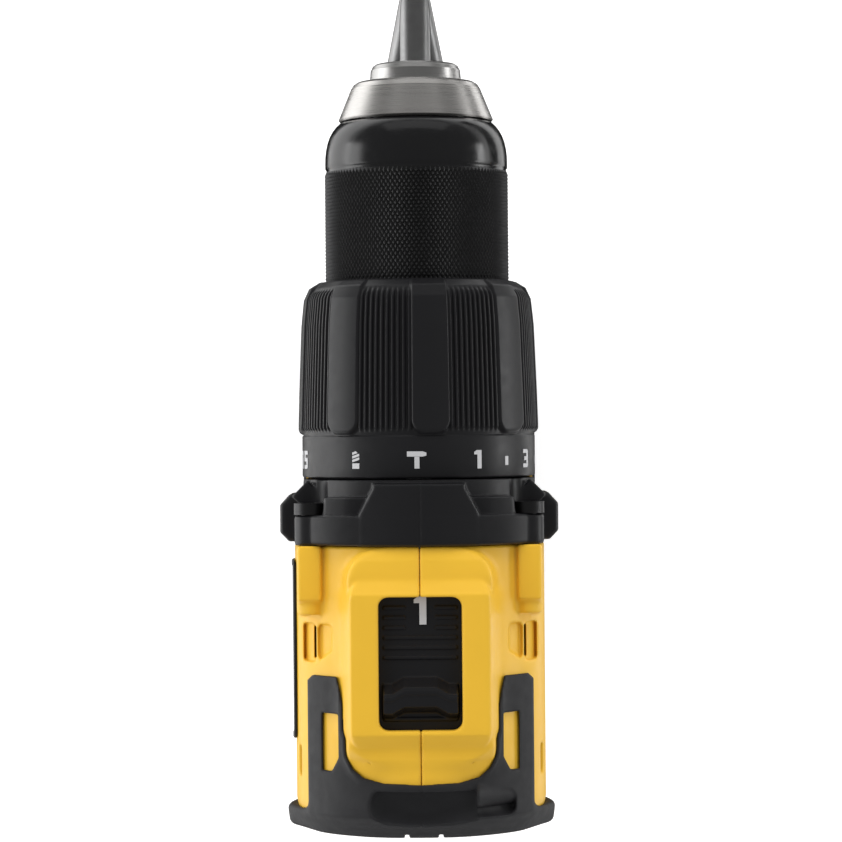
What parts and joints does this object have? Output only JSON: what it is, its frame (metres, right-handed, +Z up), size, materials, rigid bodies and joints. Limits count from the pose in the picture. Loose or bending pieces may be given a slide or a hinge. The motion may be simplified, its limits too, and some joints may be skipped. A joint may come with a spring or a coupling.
{
  "type": "cordless hammer drill",
  "caption": "Pistol-grip cordless hammer drill with keyless chuck, torque collar, speed selector, trigger and slide-on battery pack.",
  "frame": {"origin": "on the surface under the battery, halfway along and halfway across the drill", "axes": "+X along the spindle out of the chuck, +Z up, +Y to the drill's left"},
  "size_m": [0.19, 0.0636, 0.2035],
  "materials": {
    "steel": "satin turned steel",
    "bright_steel": "bright turned steel",
    "dark_steel": "hardened steel",
    "black_metal": "gloss black",
    "black_plastic": "satin black moulding",
    "yellow_plastic": "satin yellow moulding",
    "dark_rubber": "matt dark grey",
    "bronze": "oil-filled bronze",
    "copper": "enamelled wire",
    "iron": "stacked sheet",
    "board": "solder mask",
    "grey_plastic": "satin grey moulding",
    "lens": "clear",
    "cell_wrap": "shrink sleeve",
    "nickel": "nickel plate"
  },
  "bodies": {
    "tool": {"housing_left": "yellow_plastic", "housing_right": "yellow_plastic", "case_screws": "dark_steel", "gear_case": "black_plastic", "gearbox_rear_plate": "dark_steel", "ring_gear_1": "dark_steel", "ring_gear_3": "dark_steel", "clutch_pins": "steel", "clutch_spring": "steel", "spindle_bearing": "steel", "spindle_bush": "bronze", "hammer_cam_fixed": "dark_steel", "stator": "iron", "stator_windings": "copper", "motor_bearings": "steel", "sensor_board": "board", "rear_bumper": "dark_rubber", "grip_rubber": "dark_rubber", "badge": "black_plastic", "trigger_switch": "grey_plastic", "led_light": "lens", "terminal_block": "grey_plastic"},
    "chuck": {"chuck_body": "steel", "chuck_nose_cone": "bright_steel", "chuck_thrust_bearing": "steel", "chuck_screw": "dark_steel", "spindle": "steel", "hammer_cam_rotating": "dark_steel", "carrier_3": "dark_steel"},
    "sleeve": {"chuck_sleeve": "black_metal", "jaw_nut": "dark_steel"},
    "jaw_1": {"jaw_1": "dark_steel"},
    "jaw_2": {"jaw_2": "dark_steel"},
    "jaw_3": {"jaw_3": "dark_steel"},
    "motor_rotor": {"rotor": "dark_steel", "motor_fan": "black_plastic", "motor_pinion": "steel"},
    "first_carrier": {"carrier_1": "dark_steel"},
    "second_carrier": {"carrier_2": "dark_steel"},
    "collar": {"clutch_collar": "black_plastic"},
    "clutch_nut": {"clutch_nut": "nickel"},
    "selector": {"speed_selector": "black_plastic"},
    "shift_ring": {"ring_gear_2": "dark_steel", "shift_link": "nickel"},
    "trigger": {"trigger": "black_plastic"},
    "direction_lever": {"direction_lever": "black_plastic"},
    "battery": {"battery_bottom_shell": "black_plastic", "battery_top_shell": "black_plastic", "battery_cells": "cell_wrap", "battery_board": "board"},
    "battery_latch": {"battery_latch": "dark_rubber"},
    "planet_1_1": {"planet_1_1": "steel"},
    "planet_1_2": {"planet_1_2": "steel"},
    "planet_1_3": {"planet_1_3": "steel"},
    "planet_2_1": {"planet_2_1": "steel"},
    "planet_2_2": {"planet_2_2": "steel"},
    "planet_2_3": {"planet_2_3": "steel"},
    "planet_3_1": {"planet_3_1": "steel"},
    "planet_3_2": {"planet_3_2": "steel"},
    "planet_3_3": {"planet_3_3": "steel"}
  },
  "joints": [
    {"name": "chuck_spin", "type": "hinge", "parent": "tool", "child": "chuck", "pos_m": [0, 0, 0.172], "axis": [1, 0, 0], "continuous": true},
    {"name": "sleeve_turn", "type": "hinge", "parent": "chuck", "child": "sleeve", "pos_m": [0, 0, 0.172], "axis": [1, 0, 0], "range_deg": [0, 5040]},
    {"name": "jaw_1_slide", "type": "slide", "parent": "chuck", "child": "jaw_1", "axis": [-0.9744, 0, 0.225], "range_m": [0, 0.028]},
    {"name": "jaw_2_slide", "type": "slide", "parent": "chuck", "child": "jaw_2", "axis": [-0.9744, -0.1948, -0.1125], "range_m": [0, 0.028]},
    {"name": "jaw_3_slide", "type": "slide", "parent": "chuck", "child": "jaw_3", "axis": [-0.9744, 0.1948, -0.1125], "range_m": [0, 0.028]},
    {"name": "rotor_spin", "type": "hinge", "parent": "tool", "child": "motor_rotor", "pos_m": [0, 0, 0.172], "axis": [1, 0, 0], "continuous": true},
    {"name": "carrier_1_spin", "type": "hinge", "parent": "tool", "child": "first_carrier", "pos_m": [0, 0, 0.172], "axis": [1, 0, 0], "continuous": true},
    {"name": "carrier_2_spin", "type": "hinge", "parent": "tool", "child": "second_carrier", "pos_m": [0, 0, 0.172], "axis": [1, 0, 0], "continuous": true},
    {"name": "planet_1_1_spin", "type": "hinge", "parent": "first_carrier", "child": "planet_1_1", "pos_m": [0, 0.01125, 0.172], "axis": [1, 0, 0], "continuous": true},
    {"name": "planet_1_2_spin", "type": "hinge", "parent": "first_carrier", "child": "planet_1_2", "pos_m": [0, -0.00562, 0.18174], "axis": [1, 0, 0], "continuous": true},
    {"name": "planet_1_3_spin", "type": "hinge", "parent": "first_carrier", "child": "planet_1_3", "pos_m": [0, -0.00562, 0.16226], "axis": [1, 0, 0], "continuous": true},
    {"name": "planet_2_1_spin", "type": "hinge", "parent": "second_carrier", "child": "planet_2_1", "pos_m": [0, 0.01238, 0.172], "axis": [1, 0, 0], "continuous": true},
    {"name": "planet_2_2_spin", "type": "hinge", "parent": "second_carrier", "child": "planet_2_2", "pos_m": [0, -0.00619, 0.18272], "axis": [1, 0, 0], "continuous": true},
    {"name": "planet_2_3_spin", "type": "hinge", "parent": "second_carrier", "child": "planet_2_3", "pos_m": [0, -0.00619, 0.16128], "axis": [1, 0, 0], "continuous": true},
    {"name": "planet_3_1_spin", "type": "hinge", "parent": "chuck", "child": "planet_3_1", "pos_m": [0, 0.01215, 0.172], "axis": [1, 0, 0], "continuous": true},
    {"name": "planet_3_2_spin", "type": "hinge", "parent": "chuck", "child": "planet_3_2", "pos_m": [0, -0.00607, 0.18252], "axis": [1, 0, 0], "continuous": true},
    {"name": "planet_3_3_spin", "type": "hinge", "parent": "chuck", "child": "planet_3_3", "pos_m": [0, -0.00607, 0.16148], "axis": [1, 0, 0], "continuous": true},
    {"name": "collar_turn", "type": "hinge", "parent": "tool", "child": "collar", "pos_m": [0, 0, 0.172], "axis": [1, 0, 0], "range_deg": [0, 329.7]},
    {"name": "clutch_nut_slide", "type": "slide", "parent": "collar", "child": "clutch_nut", "axis": [1, 0, 0], "range_m": [0, 0.004], "deforming": ["clutch_spring"]},
    {"name": "speed_selector_slide", "type": "slide", "parent": "tool", "child": "selector", "axis": [1, 0, 0], "range_m": [0, 0.0065]},
    {"name": "shift_ring_slide", "type": "slide", "parent": "tool", "child": "shift_ring", "axis": [1, 0, 0], "range_m": [0, 0.002]},
    {"name": "trigger_pull", "type": "slide", "parent": "tool", "child": "trigger", "axis": [-1, 0, 0], "range_m": [0, 0.007], "stiffness_N_per_m": 900, "springref_m": -0.003},
    {"name": "direction_lever_slide", "type": "slide", "parent": "tool", "child": "direction_lever", "axis": [0, 1, 0], "range_m": [-0.003, 0.003]},
    {"name": "battery_slide", "type": "slide", "parent": "tool", "child": "battery", "axis": [1, 0, 0], "range_m": [0, 0.12]},
    {"name": "battery_latch_press", "type": "slide", "parent": "battery", "child": "battery_latch", "axis": [0, 0, -1], "range_m": [0, 0.0026], "stiffness_N_per_m": 1500, "springref_m": -0.002}
  ],
  "couplings": [
    {"joint": "jaw_1_slide", "follows": "sleeve_turn", "m_per_rad": 0.00031831},
    {"joint": "jaw_2_slide", "follows": "sleeve_turn", "m_per_rad": 0.00031831},
    {"joint": "jaw_3_slide", "follows": "sleeve_turn", "m_per_rad": 0.00031831},
    {"joint": "rotor_spin", "follows": "chuck_spin", "ratio": 66},
    {"joint": "carrier_1_spin", "follows": "chuck_spin", "ratio": 13.2},
    {"joint": "carrier_2_spin", "follows": "chuck_spin", "ratio": 3.6},
    {"joint": "planet_1_1_spin", "follows": "chuck_spin", "ratio": -35.2},
    {"joint": "planet_1_2_spin", "follows": "chuck_spin", "ratio": -35.2},
    {"joint": "planet_1_3_spin", "follows": "chuck_spin", "ratio": -35.2},
    {"joint": "planet_2_1_spin", "follows": "chuck_spin", "ratio": -11.52},
    {"joint": "planet_2_2_spin", "follows": "chuck_spin", "ratio": -11.52},
    {"joint": "planet_2_3_spin", "follows": "chuck_spin", "ratio": -11.52},
    {"joint": "planet_3_1_spin", "follows": "chuck_spin", "ratio": -3.25},
    {"joint": "planet_3_2_spin", "follows": "chuck_spin", "ratio": -3.25},
    {"joint": "planet_3_3_spin", "follows": "chuck_spin", "ratio": -3.25},
    {"joint": "clutch_nut_slide", "follows": "collar_turn", "m_per_rad": 0.00069513},
    {"joint": "shift_ring_slide", "follows": "speed_selector_slide", "ratio": 0.30769}
  ]
}
